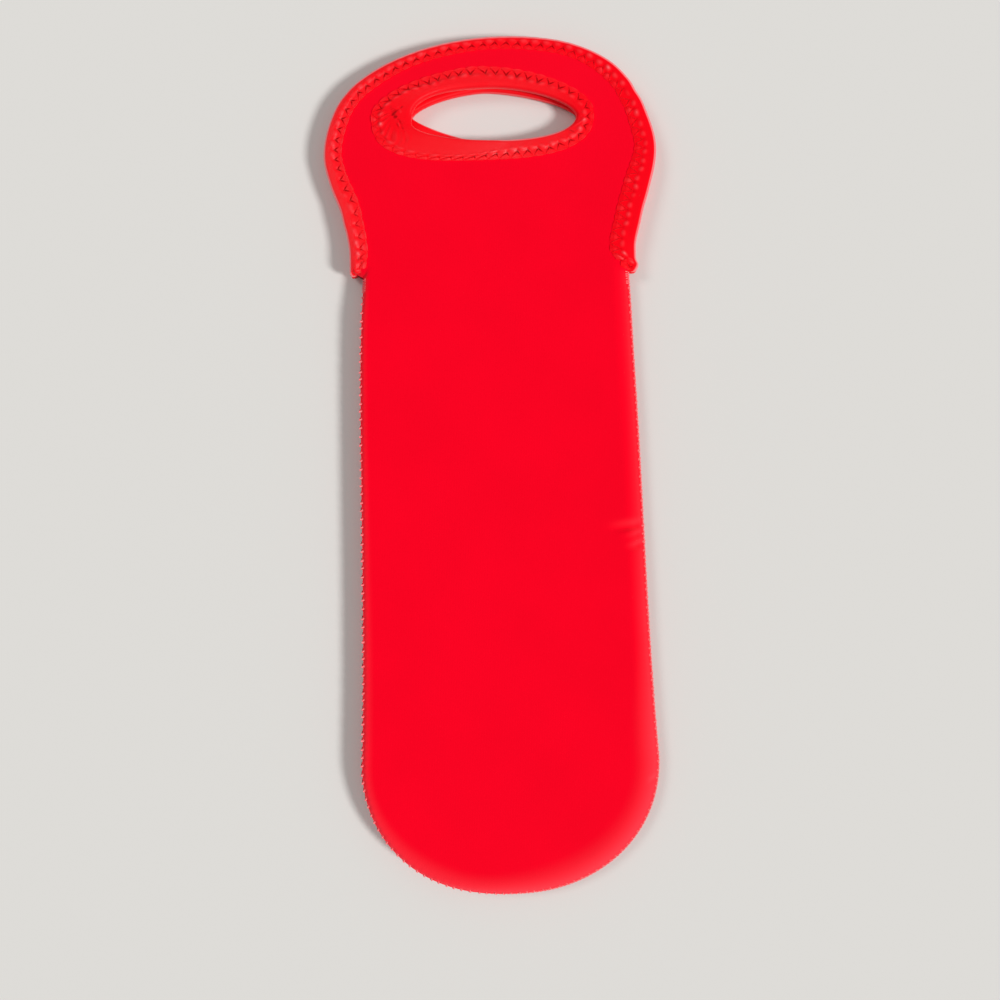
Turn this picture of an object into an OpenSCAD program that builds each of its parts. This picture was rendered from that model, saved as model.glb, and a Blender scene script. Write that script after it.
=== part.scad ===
// Soft bottle carrier of jersey-faced foam, lying flat and empty, handles towards +Y

/* [Overall] */
// Length over the handle's top and the bottom seam
overall_l = 420; // [390:1:450]
// Length of the handles above the mouth
handle_l = 117; // [108:1:126]
// Width of the body at its mouth
mouth_w = 128; // [120:1:136]
// Width of the body where its round bottom starts
hip_w = 144; // [138:1:156]
// Depth of the round bottom
bottom_depth = 60; // [48:1:72]
// Fullness of the round bottom, where 2 is an ellipse
bottom_fullness = 2.06; // [2:0.02:2.3]

/* [Laminate] */
// Thickness of the jersey on the outside
jersey_t = 0.4; // [0.3:0.1:0.6]
// Thickness of the foam core
foam_t = 2.2; // [1.6:0.1:3]
// Thickness of the jersey on the inside
lining_t = 0.4; // [0.3:0.1:0.6]

/* [Pocket] */
// Gap between the linings at the mouth
mouth_gap = 4.4; // [4.2:0.1:6]
// Width of the band over which a panel rises from its seam
crown_run = 25; // [18:1:32]
// Width of the margin in which the seam holds the two linings together
seam_margin = 2; // [1.5:0.1:3]
// Thickness of each panel where the seam pinches it
pinch_t = 2.2; // [1.6:0.1:2.6]
// Length over which the body's panels rise to meet the handles
mouth_ease = 24; // [16:1:34]

/* [Handles] */
// Width of a handle just above the mouth, over its binding
neck_w = 139.4; // [136.4:0.1:146]
// Height above the mouth up to which a handle keeps that width
neck_rise = 10; // [4:1:16]
// Width of a handle at its widest, over its binding
grip_w = 162; // [152:1:172]
// Height of the widest place above the mouth
grip_rise = 59; // [54:1:64]
// Fullness of the left shoulder, where 2 is an ellipse
left_fullness = 2; // [1.9:0.05:2.4]
// Fullness of the right shoulder, where 2 is an ellipse
right_fullness = 2.4; // [2:0.05:2.6]
// Height at which the binding's ends stop above the mouth
binding_start = 2; // [1.5:0.1:4]
// Gap between the two handles where they come closest
handle_clearance = 0.3; // [0.3:0.1:1]

/* [Hand hole] */
// Length of the open hand hole
hole_l = 80; // [70:1:84]
// Height of the open hand hole
hole_h = 25.5; // [20:0.5:27]
// Depth of the hole's middle below the top of the handle
hole_depth = 39; // [36:0.5:42]
// Offset of the hole's middle towards the right
hole_shift = 2.5; // [-4:0.1:4]
// Fullness of the hole's outline, where 2 is an ellipse
hole_fullness = 2.1; // [2:0.05:2.6]

/* [Bindings] */
// Thickness of the tape on each face
tape_t = 0.5; // [0.3:0.05:0.8]
// Width of the edge binding on each face
edge_tape_w = 8.5; // [7:0.1:10]
// Width of the hole binding on each face
hole_tape_w = 9.5; // [7:0.1:10]

/* [Stitching] */
// Thickness of the thread as it lies on the tape
thread_t = 0.25; // [0.15:0.05:0.4]
// Width of the thread
thread_w = 0.6; // [0.4:0.05:0.8]
// Length of one zigzag
zigzag_pitch = 5.8; // [4.5:0.1:7]
// Height of the zigzag across the tape
zigzag_h = 3.2; // [2.4:0.1:4]
// Margin between the zigzag and the inner edge of the tape
zigzag_margin = 0.4; // [0.3:0.05:1]
// Spacing of the overcast stitches round the body
overcast_pitch = 3.6; // [2.4:0.1:4.4]
// Height to which an overcast stitch stands out of the seam
overcast_h = 0.6; // [0.4:0.05:1]
// Thickness of the thread that runs along the seam
overcast_base = 0.25; // [0.15:0.05:0.35]
// Length of the tack at each corner of the mouth
tack_l = 7; // [5:0.1:10]
// Spacing of the stitches in a tack
tack_pitch = 1.2; // [1:0.1:1.6]

/* [Hidden] */

jersey_colour = [0.86, 0.0, 0.07];
lining_colour = [0.72, 0.0, 0.06];
foam_colour = [0.12, 0.11, 0.11];
tape_colour = [0.9, 0.05, 0.08];
thread_colour = [0.95, 0.2, 0.2];

// Places along the length, with the origin in the middle of the whole
mouth_y = overall_l / 2 - handle_l;
bottom_y = overcast_base + overcast_h - overall_l / 2;
hip_y = bottom_y + bottom_depth;

// Levels above the surface that the carrier lies on
panel_t = jersey_t + foam_t + lining_t;
mouth_lift = tape_t + thread_t;
seam_z = mouth_lift + panel_t + mouth_gap / 2;

// The front handle leans down until it nearly lies on the back one
handle_drop = mouth_gap - 2 * mouth_lift - handle_clearance;
handle_tilt = asin(handle_drop / handle_l);

// Share of the body's flare that gathers at its two ends
flare_end_share = 0.4;
// Rings of the body's panels, as shares of the crowned band
ring_shares = [0, 0.22, 0.5, 0.75, 1];
side_steps = 9;
bottom_steps = 9;
neck_steps = 10;
shoulder_steps = 18;
hole_steps = 56;
fit_overrun = 1;

// Half width of the body at a place along its length
function body_half(y) = let (t = (mouth_y + hip_y - 2 * y) / (mouth_y - hip_y))
    (hip_w + mouth_w) / 4 + (hip_w - mouth_w) / 4 * (t * (1 - flare_end_share) + pow(t, 3) * flare_end_share);

// The right half of the body's edge, from the mouth to the lowest point
body_right = [
    [body_half(mouth_y), mouth_y],
    [body_half(mouth_y - mouth_ease / 2), mouth_y - mouth_ease / 2],
    for (i = [0:side_steps])
        let (y = mouth_y - mouth_ease + (hip_y - mouth_y + mouth_ease) * i / side_steps) [body_half(y), y],
    for (i = [1:bottom_steps - 1])
        let (a = 90 * i / bottom_steps, power = 2 / bottom_fullness)
            [hip_w / 2 * pow(cos(a), power), hip_y - bottom_depth * pow(sin(a), power)],
    [0, hip_y - bottom_depth]
];

function backwards(points) = [for (i = [len(points) - 1:-1:0]) points[i]];
function mirrored(points) = [for (p = backwards(points)) [-p.x, p.y]];
function all_but_first(points) = [for (i = [1:len(points) - 1]) points[i]];

// The whole edge of the body, from the right mouth corner round to the left one
body_edge = concat(body_right, all_but_first(mirrored(body_right)));

// The body's edge drawn in by a distance, straight across the sides and towards the middle of the bottom
function drawn_in(p, inset) = let (k = 1 - 2 * inset / hip_w)
    [p.x * k, p.y < hip_y ? hip_y + (p.y - hip_y) * k : p.y];

// How far a place near the mouth is lifted towards the handle's level
function lift(y) = mouth_lift * max(0, 1 - (mouth_y - y) / mouth_ease);

// A back panel's inner and outer levels on a ring, which rises from the seam as a rounded crown
function crown(share) = 1 - pow(1 - share, 2);
function outer_z(share, y) = let (c = crown(share)) (seam_z - pinch_t) * (1 - c) + lift(y) * c;
function inner_z(share, y) = let (c = crown(share)) seam_z * (1 - c) + (panel_t + lift(y)) * c;

// One surface of a panel: the seam's margin first, then the rings of the crowned band
panel_insets = concat([0], [for (s = ring_shares) seam_margin + s * crown_run]);
panel_shares = concat([0], ring_shares);
function panel_surface(level) = [
    for (k = [0:len(panel_insets) - 1])
        for (p = body_edge)
            let (q = drawn_in(p, panel_insets[k]), share = panel_shares[k])
                [q.x, q.y, level < 2 ? outer_z(share, q.y) + level * jersey_t
                                     : inner_z(share, q.y) - (3 - level) * lining_t]
];

// A closed layer between two such surfaces
module panel_layer(low_level, high_level) {
    n = len(body_edge);
    rings = len(panel_insets);
    top = n * rings;
    last = (rings - 1) * n;
    half = (n - 1) / 2;
    bands = [for (k = [0:rings - 2]) for (i = [0:n - 2]) [k * n + i, k * n + i + 1, k * n + n + i + 1, k * n + n + i]];
    strips = [for (i = [0:half - 2]) [last + i, last + i + 1, last + n - 2 - i, last + n - 1 - i]];
    tip = [last + half - 1, last + half, last + half + 1];
    lids = concat(bands, strips);
    mouth = concat([for (k = [0:rings - 1]) k * n], [for (k = [rings - 1:-1:0]) k * n + n - 1]);
    polyhedron(
        points = concat(panel_surface(low_level), panel_surface(high_level)),
        faces = concat(
            [for (q = lids) [q[0], q[1], q[2]]],
            [for (q = lids) [q[0], q[2], q[3]]],
            [tip],
            [for (q = lids) [top + q[2], top + q[1], top + q[0]]],
            [for (q = lids) [top + q[3], top + q[2], top + q[0]]],
            [[top + tip[2], top + tip[1], top + tip[0]]],
            [for (i = [0:n - 2]) [i + 1, i, top + i]],
            [for (i = [0:n - 2]) [i + 1, top + i, top + i + 1]],
            [for (i = [0:len(mouth) - 2]) [mouth[i], mouth[i + 1], top + mouth[i + 1]]],
            [for (i = [0:len(mouth) - 2]) [mouth[i], top + mouth[i + 1], top + mouth[i]]]
        )
    );
}

// The front panel is the back one turned over about the seam
module front_side() {
    translate([0, 0, 2 * seam_z]) mirror([0, 0, 1]) children();
}

module front_body_jersey() {
    color(jersey_colour) front_side() panel_layer(0, 1);
}

module front_body_foam() {
    color(foam_colour) front_side() panel_layer(1, 2);
}

module front_body_lining() {
    color(lining_colour) front_side() panel_layer(2, 3);
}

module back_body_jersey() {
    color(jersey_colour) panel_layer(0, 1);
}

module back_body_foam() {
    color(foam_colour) panel_layer(1, 2);
}

module back_body_lining() {
    color(lining_colour) panel_layer(2, 3);
}

// Unit normal to the right of a path at point i, of an open path or a loop
function unit(v) = v / norm(v);
function normal_at(path, i, loop) = let (
    n = len(path),
    before = loop ? path[(i + n - 1) % n] : path[max(0, i - 1)],
    after = loop ? path[(i + 1) % n] : path[min(n - 1, i + 1)],
    t = unit(after - before)
) [t.y, -t.x];

// A path moved sideways by a distance, to its right where the distance is positive
function moved(path, d, loop = false) = [for (i = [0:len(path) - 1]) path[i] + d * normal_at(path, i, loop)];

// Length of a path up to each of its points, and the place at a length along it
function lengths(path) = [for (i = 0, s = 0; i < len(path);
    i = i + 1, s = s + (i < len(path) ? norm(path[i] - path[i - 1]) : 0)) s];
function segment_at(sums, s) = [for (i = [0:len(sums) - 2]) if (s <= sums[i + 1] || i == len(sums) - 2) i][0];
function place_at(path, sums, s) = let (
    i = segment_at(sums, s),
    t = unit(path[i + 1] - path[i])
) [path[i] + t * (s - sums[i]), [t.y, -t.x]];

// Offsets of a zigzag's or comb's edge points, evenly spread along a path
function wavy(path, count, offsets) = let (
    sums = lengths(path),
    total = sums[len(sums) - 1]
) [for (i = [0:count - 1])
    let (p = place_at(path, sums, total * i / (count - 1))) p[0] + p[1] * offsets[i % len(offsets)]];

// The sides of a thread that follows a path, mitred at its corners
function mitre(path, i, loop, half_w) = let (
    n = len(path),
    before = loop ? path[(i + n - 1) % n] : i == 0 ? 2 * path[0] - path[1] : path[i - 1],
    after = loop ? path[(i + 1) % n] : i == n - 1 ? 2 * path[n - 1] - path[n - 2] : path[i + 1],
    a = unit(path[i] - before),
    b = unit(after - path[i]),
    m = unit([a.y + b.y, -a.x - b.x])
) m * half_w / (m * [a.y, -a.x]);
function thread_side(path, loop, half_w) = [for (i = [0:len(path) - 1]) path[i] + mitre(path, i, loop, half_w)];

// The edge of a handle over its binding, from the right end round to the left, with y above the mouth
function neck_half(y) = let (t = max(0, (y - neck_rise) / (grip_rise - neck_rise)))
    neck_w / 2 + (grip_w - neck_w) / 2 * (3 * t * t - 2 * t * t * t);
function shoulder(a, fullness) = [
    grip_w / 2 * pow(cos(a), 2 / fullness),
    grip_rise + (handle_l - grip_rise) * pow(sin(a), 2 / fullness)
];
neck_right = [
    for (i = [0:neck_steps - 1])
        let (y = binding_start + (grip_rise - binding_start) * i / neck_steps) [neck_half(y), y]
];
function shoulder_right(fullness) = [for (i = [0:shoulder_steps - 1]) shoulder(90 * i / shoulder_steps, fullness)];
handle_edge = concat(
    neck_right,
    shoulder_right(right_fullness),
    [[0, handle_l]],
    mirrored(concat(neck_right, shoulder_right(left_fullness)))
);

// The cut edge of the panel inside the binding's fold, down to the mouth
panel_edge = concat([[mouth_w / 2, 0]], moved(handle_edge, -tape_t), [[-mouth_w / 2, 0]]);

// The open hand hole, taken round clockwise so that its right side is the hole
hole_rise = handle_l - hole_depth;
function squash_pow(v, fullness) = sign(v) * pow(abs(v), 2 / fullness);
hole_rim = [
    for (i = [0:hole_steps - 1])
        let (a = -360 * i / hole_steps)
            [hole_shift + hole_l / 2 * squash_pow(cos(a), hole_fullness),
             hole_rise + hole_h / 2 * squash_pow(sin(a), hole_fullness)]
];

module front_handle_place() {
    translate([0, mouth_y, seam_z + mouth_gap / 2]) rotate([-handle_tilt, 0, 0]) children();
}

module back_handle_place() {
    translate([0, mouth_y, seam_z - mouth_gap / 2]) mirror([0, 0, 1]) children();
}

// A layer of a handle between two levels above its lining's face
module handle_layer(low_z, high_z) {
    translate([0, 0, low_z])
        linear_extrude(height = high_z - low_z)
            difference() {
                polygon(panel_edge);
                polygon(moved(hole_rim, -tape_t, true));
            }
}

module handle_lining() {
    color(lining_colour) handle_layer(0, lining_t);
}

module handle_foam() {
    color(foam_colour) handle_layer(lining_t, lining_t + foam_t);
}

module handle_jersey() {
    color(jersey_colour) handle_layer(lining_t + foam_t, panel_t);
}

// Tape folded over the outer edge of a handle
module edge_binding() {
    band = concat(handle_edge, backwards(moved(handle_edge, -edge_tape_w)));
    color(tape_colour)
        difference() {
            translate([0, 0, -tape_t]) linear_extrude(height = panel_t + 2 * tape_t) polygon(band);
            linear_extrude(height = panel_t) polygon(panel_edge);
        }
}

// Tape folded over the rim of the hand hole
module hole_binding() {
    color(tape_colour)
        difference() {
            translate([0, 0, -tape_t])
                linear_extrude(height = panel_t + 2 * tape_t)
                    difference() {
                        polygon(moved(hole_rim, -hole_tape_w, true));
                        polygon(hole_rim);
                    }
            linear_extrude(height = panel_t)
                difference() {
                    polygon(moved(hole_rim, -hole_tape_w - fit_overrun, true));
                    polygon(moved(hole_rim, -tape_t, true));
                }
        }
}

// The same thread laid on the outer and on the inner face of the tape
module on_both_faces() {
    for (z = [panel_t + tape_t, -tape_t - thread_t])
        translate([0, 0, z]) linear_extrude(height = thread_t) children();
}

module edge_stitching() {
    line = moved(handle_edge, zigzag_h / 2 + zigzag_margin + thread_w / 2 - edge_tape_w);
    legs = 2 * round(max(lengths(line)) / zigzag_pitch);
    zigzag = wavy(line, legs + 1, [zigzag_h / 2, -zigzag_h / 2]);
    sides = concat(thread_side(zigzag, false, thread_w / 2), backwards(thread_side(zigzag, false, -thread_w / 2)));
    color(thread_colour) on_both_faces() polygon(sides);
}

module hole_stitching() {
    ring = moved(hole_rim, zigzag_h / 2 + zigzag_margin + thread_w / 2 - hole_tape_w, true);
    line = concat(ring, [ring[0]]);
    legs = 2 * round(max(lengths(line)) / zigzag_pitch);
    round_trip = wavy(line, legs + 1, [zigzag_h / 2, -zigzag_h / 2]);
    zigzag = [for (i = [0:legs - 1]) round_trip[i]];
    color(thread_colour)
        on_both_faces()
            difference() {
                polygon(thread_side(zigzag, true, -thread_w / 2));
                polygon(thread_side(zigzag, true, thread_w / 2));
            }
}

module front_handle_jersey() {
    front_handle_place() handle_jersey();
}

module front_handle_foam() {
    front_handle_place() handle_foam();
}

module front_handle_lining() {
    front_handle_place() handle_lining();
}

module front_edge_binding() {
    front_handle_place() edge_binding();
}

module front_hole_binding() {
    front_handle_place() hole_binding();
}

module front_edge_stitching() {
    front_handle_place() edge_stitching();
}

module front_hole_stitching() {
    front_handle_place() hole_stitching();
}

module back_handle_jersey() {
    back_handle_place() handle_jersey();
}

module back_handle_foam() {
    back_handle_place() handle_foam();
}

module back_handle_lining() {
    back_handle_place() handle_lining();
}

module back_edge_binding() {
    back_handle_place() edge_binding();
}

module back_hole_binding() {
    back_handle_place() hole_binding();
}

module back_edge_stitching() {
    back_handle_place() edge_stitching();
}

module back_hole_stitching() {
    back_handle_place() hole_stitching();
}

// The stretch of the body's edge between two lengths along it, with the edge's own corners
function stretch(path, sums, low, high) = concat(
    [place_at(path, sums, low)[0]],
    [for (i = [0:len(path) - 1]) if (sums[i] > low && sums[i] < high) path[i]],
    [place_at(path, sums, high)[0]]
);

// Thread over the joined edges, smooth against the panels and toothed outside
module overcast(low, high, pitch, base, tooth) {
    line = stretch(body_edge, lengths(body_edge), low, high);
    teeth = round((high - low) / pitch);
    comb = wavy(line, 3 * teeth + 1, [-base, -base - tooth, -base - tooth]);
    translate([0, 0, seam_z - pinch_t])
        linear_extrude(height = 2 * pinch_t)
            polygon(concat(line, backwards(comb)));
}

module body_seam_thread() {
    seam_l = max(lengths(body_edge));
    color(thread_colour) overcast(tack_l, seam_l - tack_l, overcast_pitch, overcast_base, overcast_h);
}

module corner_tack(low) {
    color(thread_colour) overcast(low, low + tack_l, tack_pitch, overcast_base, overcast_h);
}

module right_corner_tack() {
    corner_tack(0);
}

module left_corner_tack() {
    corner_tack(max(lengths(body_edge)) - tack_l);
}

front_body_jersey();
front_body_foam();
front_body_lining();
back_body_jersey();
back_body_foam();
back_body_lining();
body_seam_thread();
left_corner_tack();
right_corner_tack();
front_handle_jersey();
front_handle_foam();
front_handle_lining();
front_edge_binding();
front_hole_binding();
front_edge_stitching();
front_hole_stitching();
back_handle_jersey();
back_handle_foam();
back_handle_lining();
back_edge_binding();
back_hole_binding();
back_edge_stitching();
back_hole_stitching();
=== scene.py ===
import math
import bmesh
import bpy
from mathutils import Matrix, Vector, noise
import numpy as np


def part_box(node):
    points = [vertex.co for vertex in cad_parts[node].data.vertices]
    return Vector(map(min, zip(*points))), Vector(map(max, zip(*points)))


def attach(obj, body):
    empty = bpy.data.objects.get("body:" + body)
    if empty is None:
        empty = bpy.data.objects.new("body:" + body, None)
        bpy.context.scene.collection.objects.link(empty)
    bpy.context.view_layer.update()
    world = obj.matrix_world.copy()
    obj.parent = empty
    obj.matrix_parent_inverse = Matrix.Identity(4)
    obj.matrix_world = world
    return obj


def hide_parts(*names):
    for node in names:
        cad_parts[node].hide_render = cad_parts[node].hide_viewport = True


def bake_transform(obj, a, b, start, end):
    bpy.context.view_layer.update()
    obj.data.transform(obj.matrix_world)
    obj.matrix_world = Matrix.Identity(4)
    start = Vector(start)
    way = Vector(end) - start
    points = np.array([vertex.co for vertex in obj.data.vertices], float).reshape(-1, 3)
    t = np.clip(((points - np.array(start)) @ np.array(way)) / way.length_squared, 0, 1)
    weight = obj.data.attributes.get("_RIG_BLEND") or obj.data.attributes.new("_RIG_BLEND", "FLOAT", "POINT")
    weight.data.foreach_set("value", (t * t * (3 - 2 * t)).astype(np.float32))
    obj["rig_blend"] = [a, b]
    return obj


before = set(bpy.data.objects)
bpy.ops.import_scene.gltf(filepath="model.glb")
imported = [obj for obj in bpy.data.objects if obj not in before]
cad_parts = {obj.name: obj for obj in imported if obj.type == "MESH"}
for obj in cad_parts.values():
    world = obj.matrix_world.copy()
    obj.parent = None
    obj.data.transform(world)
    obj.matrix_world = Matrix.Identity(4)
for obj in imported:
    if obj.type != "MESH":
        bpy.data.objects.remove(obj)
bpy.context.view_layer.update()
print("stage: frame loaded")

mm = 0.001  # lengths are in millimetres until a mesh is finished


# ---- camera, straight above at arm's height and rolled a little against the carrier
view = {
    "lens": 36.0,
    "height": 495.3,
    "aimX": -0.7,
    "aimY": -17.0,
    "roll": -1.913,
}


def makeCamera():
    data = bpy.data.cameras.new("overheadCamera")
    data.lens = view["lens"]
    data.sensor_width = 36.0
    data.clip_start = 0.01
    camera = bpy.data.objects.new("overheadCamera", data)
    camera.location = (view["aimX"] * mm, view["aimY"] * mm, view["height"] * mm)
    camera.rotation_euler = (0, 0, math.radians(view["roll"]))
    bpy.context.scene.collection.objects.link(camera)
    bpy.context.scene.camera = camera


makeCamera()


# ---- small tools
def smooth(t):
    t = min(1.0, max(0.0, t))
    return t * t * (3 - 2 * t)


def bell(t):
    return math.exp(-t * t) if abs(t) < 4 else 0.0


def mix(a, b, t):
    return a + (b - a) * t


def between(table, t):
    # a value read smoothly from pairs of place and value
    for (t0, a), (t1, b) in zip(table, table[1:]):
        if t <= t1:
            return mix(a, b, smooth((t - t0) / (t1 - t0)))
    return table[-1][1]


def power(value, exponent):
    return math.copysign(abs(value) ** exponent, value)


def wave(s, pitch):
    # a straight zigzag that is 1 at whole pitches and -1 half way between
    t = (s / pitch) % 1.0
    return 1 - 4 * min(t, 1 - t)


def lengthsTo(line):
    sums = [0.0]
    for a, b in zip(line, line[1:]):
        sums.append(sums[-1] + (b - a).length)
    return sums


def evenly(line, count):
    # the line again as count + 1 evenly spaced (place, outward, length so far)
    sums, spots, k = lengthsTo(line), [], 0
    for i in range(count + 1):
        s = sums[-1] * i / count
        while k < len(sums) - 2 and sums[k + 1] < s:
            k += 1
        spots.append((line[k].lerp(line[k + 1], (s - sums[k]) / (sums[k + 1] - sums[k])), s))
    rail = []
    for i, (place, s) in enumerate(spots):
        way = (spots[min(i + 1, count)][0] - spots[max(i - 1, 0)][0]).normalized()
        rail.append((place, Vector((way.y, -way.x)), s))
    return rail


def onRail(rail, at):
    # the place and the outward direction so many steps along it
    i = int(at)
    return rail[i][0].lerp(rail[i + 1][0], at - i), rail[i][1].lerp(rail[i + 1][1], at - i).normalized()


def gridOf(bm, columns, rows):
    # a new grid's points, each with its column and row
    made = bmesh.ops.create_grid(bm, x_segments=columns, y_segments=rows, size=1.0)["verts"]
    return {v: (round((v.co.x + 1) / 2 * columns), round((v.co.y + 1) / 2 * rows)) for v in made}


def wrapGrid(bm, stations, around, place, closedPath, patternX, patternY, values=None):
    # a grid wrapped round on itself into a tube or a folded strip
    pattern = bm.loops.layers.uv.get("flat") or bm.loops.layers.uv.new("flat")
    layers = bm.verts.layers.float
    marked = [(layers.get(name) or layers.new(name), value) for name, value in (values or {}).items()]
    index = gridOf(bm, stations, around)
    for face in {f for v in index for f in v.link_faces}:
        for loop in face.loops:
            i, j = index[loop.vert]
            loop[pattern].uv = (i * patternX, j * patternY)
    for v, (i, j) in index.items():
        i, j = i % stations if closedPath else i, j % around
        v.co = place(i, j)
        for layer, value in marked:
            v[layer] = value(i, j)
    bmesh.ops.remove_doubles(bm, verts=list(index), dist=0.002)
    if not closedPath:
        bmesh.ops.holes_fill(bm, edges=[e for e in bm.edges if e.is_boundary], sides=0)


def finished(name, bm, material, slot, sharpAngle=50):
    # from a bmesh in millimetres to an object in metres, at the origin
    bmesh.ops.recalc_face_normals(bm, faces=bm.faces)
    bmesh.ops.scale(bm, vec=(mm, mm, mm), verts=bm.verts)
    mesh = bpy.data.meshes.new(name)
    bm.to_mesh(mesh)
    bm.free()
    mesh.polygons.foreach_set("use_smooth", [True] * len(mesh.polygons))
    mesh.set_sharp_from_angle(angle=math.radians(sharpAngle))
    mesh.materials.append(material)
    piece = bpy.data.objects.new(name, mesh)
    bpy.context.scene.collection.objects.link(piece)
    return piece


def edgesOf(node):
    low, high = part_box(node)
    return low / mm, high / mm


# ---- sizes taken from the frame
bodyLow, bodyHigh = edgesOf("back_body_jersey")
skinLow, skinHigh = edgesOf("back_handle_jersey")
rimLow, rimHigh = edgesOf("back_edge_binding")
seamZ = edgesOf("back_body_lining")[1].z
mouthY = skinLow.y
bottomY = bodyLow.y
hipSlack = 0.1  # the seam lets the body spread this much past its cut edge
hipHalf = bodyHigh.x + hipSlack
gripHalf = rimHigh.x
gripTop = rimHigh.y
jerseyT = skinHigh.z - skinLow.z
panelT = edgesOf("back_handle_lining")[1].z - skinLow.z
tapeT = skinLow.z - rimLow.z
mouthLift = skinLow.z
pinchT = seamZ - (bodyHigh.z - jerseyT)
# how far the front handle's top leans down towards the back one
frontDrop = 2 * seamZ - mouthLift - panelT - tapeT - edgesOf("front_edge_binding")[0].z
print("stage: sizes", round(hipHalf, 2), round(panelT, 2), round(pinchT, 2), round(frontDrop, 2))


# ---- the outline of a panel
outline = {
    "steps": 60,  # points along each stretch of it
    "mouthHalf": 64.4,  # half the body's width at the mouth
    "flareEnds": 0.4,  # share of the body's flare that gathers at its ends
    "bottomDepth": 64.0,
    "bottomFullness": 2.12,  # where 2 is an ellipse
    "middle": 0.3,  # the body's middle line
    "bottomLean": -0.6,  # the lowest point is a little off to the left
    "mouthLean": 0.9,  # and the mouth a little to the right, over this length
    "mouthLeanRun": 45.0,
    "neckHalf": 69.4,  # half a handle's width just above the mouth, over the tape
    "neckRise": 10.0,  # height above the mouth at which the neck starts to widen
    "gripRise": 59.0,  # height of the widest place
    "shoulderFullness": 2.12,
    "lean": 6.8,  # how far the top is off to the right
    "leanStart": 0.5,  # share of the shoulder's height at which it starts
    "leanPower": 1.3,
    "topIn": 1.0,  # the tape's top stays this far inside the frame's box
    "cornerRise": 3.5,  # height over which the cut edge steps out above the mouth
    # what each side stands out or in by, as it was sewn: over the neck's rise, then over the shoulder's share
    "neckRight": [(0, 0.0), (10, 0.0), (22, 0.8), (32, 0.4), (45, 0.0), (59, 0.0)],
    "neckLeft": [(0, 0.6), (9, 0.5), (16, 0.4), (24, 0.1), (34, -0.9), (46, -0.5), (59, 0.0)],
    "shoulderRight": [(0, 0.0), (0.28, -0.8), (0.46, 0.0), (0.6, 1.2), (0.76, 1.9), (0.95, 1.9), (1, 0.0)],
    "shoulderLeft": [(0, 0.0), (0.3, -0.4), (0.5, 0.0), (0.65, 0.8), (0.8, 1.0), (0.92, 0.6), (1, 0.0)],
}
hipY = bottomY + outline["bottomDepth"]
topY = gripTop - outline["topIn"]


def bodyMiddle(y):
    return mix(outline["middle"], outline["mouthLean"], smooth(1 - (mouthY - y) / outline["mouthLeanRun"]))


def bodyHalf(y):
    t = (mouthY + hipY - 2 * y) / (mouthY - hipY)
    swell = t * (1 - outline["flareEnds"]) + t ** 3 * outline["flareEnds"]
    return (hipHalf + outline["mouthHalf"]) / 2 + (hipHalf - outline["mouthHalf"]) / 2 * swell


def neckEdge(rise, side):
    # the rim's distance from the middle line, on the right for 1 and on the left for -1
    t = (rise - outline["neckRise"]) / (outline["gripRise"] - outline["neckRise"])
    table = outline["neckRight" if side > 0 else "neckLeft"]
    return side * (mix(outline["neckHalf"], gripHalf, smooth(t)) + between(table, rise))


def bodyEdge():
    # from the left mouth corner down round the bottom to the right one
    steps, exponent = outline["steps"], 2 / outline["bottomFullness"]
    heights = [mix(hipY, mouthY, i / steps) for i in range(steps + 1)]
    right = [Vector((bodyMiddle(y) + bodyHalf(y), y)) for y in heights]
    bottom = []
    for i in range(1 - steps, steps):
        a = math.pi / 2 * i / steps
        depth = math.cos(a) ** exponent
        x = outline["middle"] + hipHalf * power(math.sin(a), exponent) + outline["bottomLean"] * depth
        bottom.append(Vector((x, hipY - outline["bottomDepth"] * depth)))
    left = [Vector((bodyMiddle(y) - bodyHalf(y), y)) for y in reversed(heights)]
    return left + bottom + right


def shoulder(inside=0.0):
    # over the top of a handle from its widest place on the right to that on the left
    line, steps = [], 2 * outline["steps"]
    height = topY - mouthY - outline["gripRise"] - inside
    exponent, leanStart = 2 / outline["shoulderFullness"], outline["leanStart"]
    for i in range(steps + 1):
        a = math.pi * i / steps
        share = abs(math.sin(a)) ** exponent
        side, table = (1, "shoulderRight") if math.cos(a) > 0 else (-1, "shoulderLeft")
        lean = outline["lean"] * max(0, (share - leanStart) / (1 - leanStart)) ** outline["leanPower"]
        lean += side * between(outline[table], share)
        line.append(Vector((lean + (gripHalf - inside) * power(math.cos(a), exponent),
                            mouthY + outline["gripRise"] + height * share)))
    return line


def cutEdge():
    # the laminate's own edge under the tape, from just above the right mouth corner round to the left one
    count = outline["steps"] // 2
    rises = [mix(outline["cornerRise"], outline["gripRise"], i / count) for i in range(count)]
    right, left = [[Vector((neckEdge(rise, side) - side * tapeT, mouthY + rise)) for rise in rises]
                   for side in (1, -1)]
    return right + shoulder(tapeT) + left[::-1]


hole = {
    # how the hole of each handle was cut: its two ends, its highest and lowest point, and how full
    # each quarter is, above right, below right, below left and above left
    "front": {"left": (-37.5, 167.7), "right": (42.4, 168.9), "top": (0.5, 183.6), "bottom": (6.0, 158.0),
              "fullness": (1.68, 2.23, 1.96, 2.72)},
    "back": {"left": (-37.4, 172.2), "right": (43.1, 170.4), "top": (-2.0, 183.6), "bottom": (1.1, 158.4),
             "fullness": (1.52, 3.15, 1.28, 1.63)},
    "tapeX": -3.0,  # the tape's own outline, which is not central on the hole
    "tapeY": 171.3,
    "tapeHalfX": 54.0,
    "tapeHalfY": 23.0,
    "tapeFullness": (1.95, 2.8, 3.0, 1.53),
    "tapeTilt": 0.045,  # its upper side lies askew, by this share of the distance from tiltX
    "tiltX": -9.0,
    "tiltFrom": 0.65,  # where round the hole that sets in, and how quickly
    "tiltRun": 0.8,
    "samples": 1440,  # points round the tape's outline
}


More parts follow.
